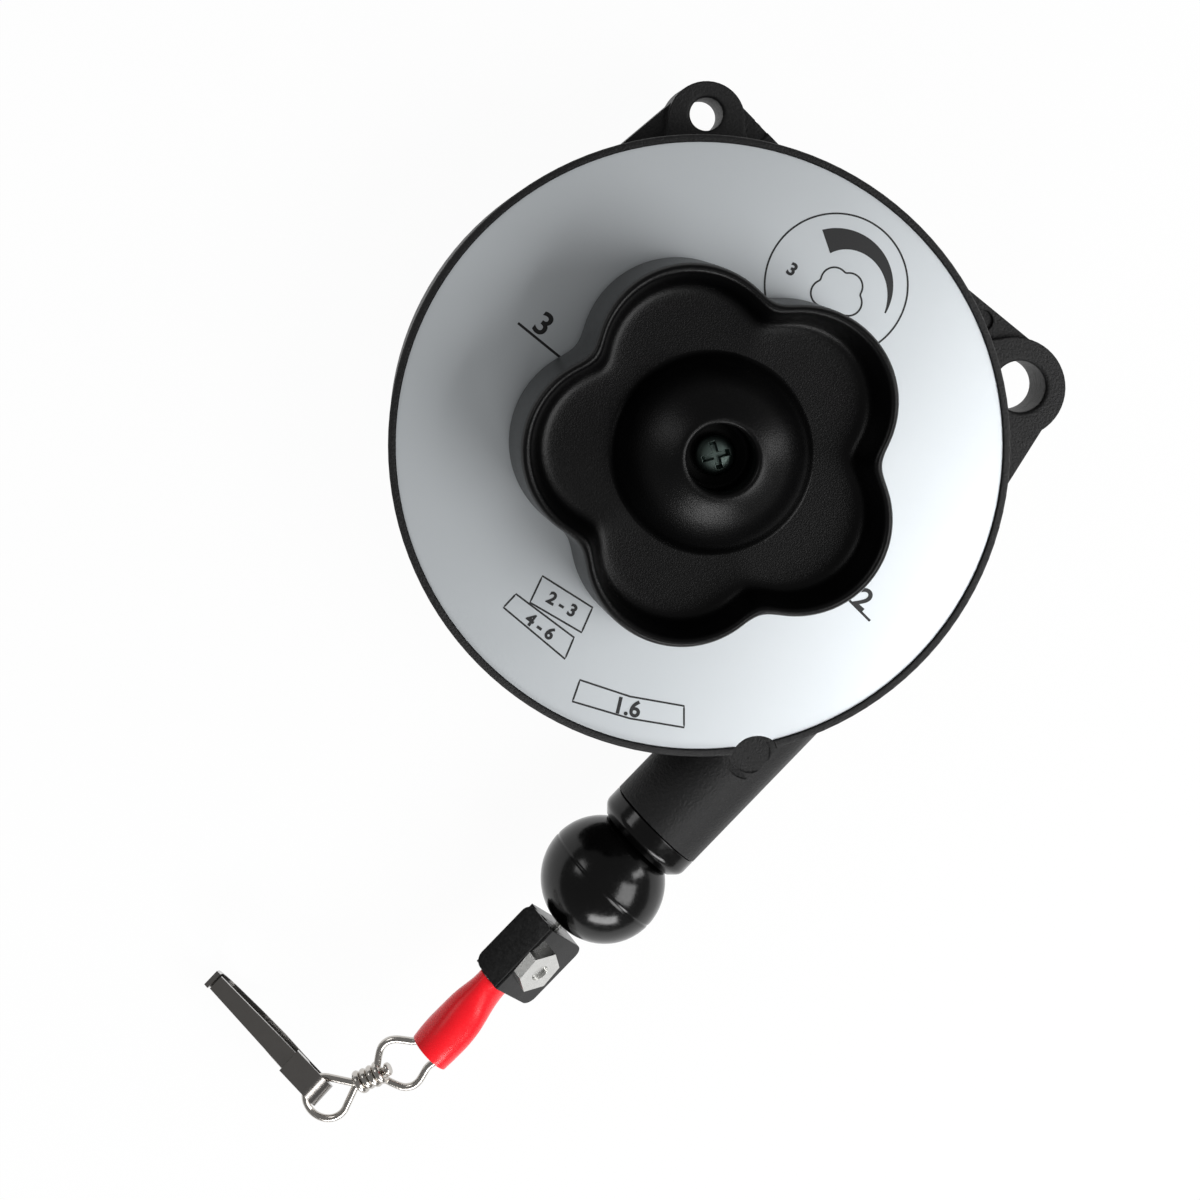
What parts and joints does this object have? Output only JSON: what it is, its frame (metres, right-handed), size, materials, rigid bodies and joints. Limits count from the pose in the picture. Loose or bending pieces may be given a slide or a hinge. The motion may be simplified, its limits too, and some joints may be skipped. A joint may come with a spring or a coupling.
{
  "type": "tool balancer",
  "caption": "Spring tool balancer with a round black housing, a lobed tension knob, a pale dial plate, a cable with a ball stopper, a clamp, a red loop sleeve and a swivelling snap hook.",
  "frame": {"origin": "where the knob's axis meets the housing's back face", "axes": "+Z along the knob's axis, out of the dial; the back face lies on the floor at Z = 0; +Y to the smaller suspension ear, +X to the larger one, cable leaving towards -X and -Y"},
  "size_m": [0.1726, 0.2114, 0.0676],
  "materials": {
    "shell_black": "fine moulded grain",
    "label_grey": "satin",
    "gloss_black": "polished",
    "knob_black": "satin, fine grain",
    "clamp_black": "glossy black",
    "zinc": "bright zinc plated",
    "nickel": "nickel plated",
    "sleeve_red": "glossy soft vinyl",
    "drum_metal": "turned",
    "bush_brass": "sintered",
    "spring_steel": "blued",
    "cable_steel": "stranded",
    "arbor_steel": "turned",
    "brake_lining": "pressed fibre"
  },
  "bodies": {
    "housing": {"back_shell": "shell_black", "front_shell": "shell_black", "label_plate": "label_grey", "nozzle_bushing": "gloss_black", "shell_screws": "zinc", "friction_ring": "brake_lining"},
    "tension_knob": {"arbor": "arbor_steel", "retaining_ring": "spring_steel", "knob": "knob_black", "knob_screw": "zinc", "knob_washer": "zinc", "disc_spring": "spring_steel"},
    "cable_drum": {"drum": "drum_metal", "drum_cover": "drum_metal", "drum_bush_front": "bush_brass", "drum_bush_back": "bush_brass", "cable_winding": "cable_steel", "cable_anchor": "bush_brass", "power_spring": "spring_steel"},
    "cable_end": {"cable_run": "cable_steel", "ball_stopper": "gloss_black", "clamp_angle": "clamp_black", "clamp_block": "clamp_black", "clamp_bolt": "zinc", "clamp_nut": "zinc", "cable_loop": "cable_steel", "loop_sleeve": "sleeve_red"},
    "eye": {"swivel_eye": "nickel"},
    "link": {"hook_link": "nickel"},
    "hook": {"hook_frame": "nickel", "gate_pin": "nickel", "gate_spring": "spring_steel"},
    "gate": {"hook_gate": "nickel"}
  },
  "joints": [
    {"name": "knob_turn", "type": "hinge", "parent": "housing", "child": "tension_knob", "pos_m": [0, 0, 0.045], "axis": [0, 0, 1], "range_deg": [-95, 95], "deforming": ["power_spring"]},
    {"name": "cable_pull", "type": "slide", "parent": "housing", "child": "cable_end", "axis": [-0.6959, -0.7181, 0], "range_m": [0, 1.6], "stiffness_N_per_m": 6.25, "springref_m": -3.2, "deforming": ["cable_run"]},
    {"name": "drum_turn", "type": "hinge", "parent": "housing", "child": "cable_drum", "pos_m": [0, 0, 0.019], "axis": [0, 0, 1], "range_deg": [-1845, 2], "deforming": ["power_spring"]},
    {"name": "eye_swing", "type": "hinge", "parent": "cable_end", "child": "eye", "pos_m": [-0.04933, -0.12187, 0.02006], "axis": [-0.4848, 0.8746, 0], "range_deg": [-4, 10]},
    {"name": "hook_swivel", "type": "hinge", "parent": "eye", "child": "link", "pos_m": [-0.06241, -0.12913, 0.01688], "axis": [-0.8555, -0.4742, -0.2079], "continuous": true},
    {"name": "hook_swing", "type": "hinge", "parent": "link", "child": "hook", "pos_m": [-0.07596, -0.13185, 0.01408], "axis": [-0.6991, -0.6798, 0.2215], "range_deg": [-65, 75]},
    {"name": "gate_open", "type": "hinge", "parent": "hook", "child": "gate", "pos_m": [-0.07924, -0.1286, 0.01372], "axis": [-0.6991, -0.6798, 0.2215], "range_deg": [0, 15], "stiffness_Nm_per_rad": 0.03, "springref_deg": -28.65, "deforming": ["gate_spring"]}
  ],
  "couplings": [
    {"joint": "drum_turn", "follows": "cable_pull", "rad_per_m": -20.08}
  ]
}
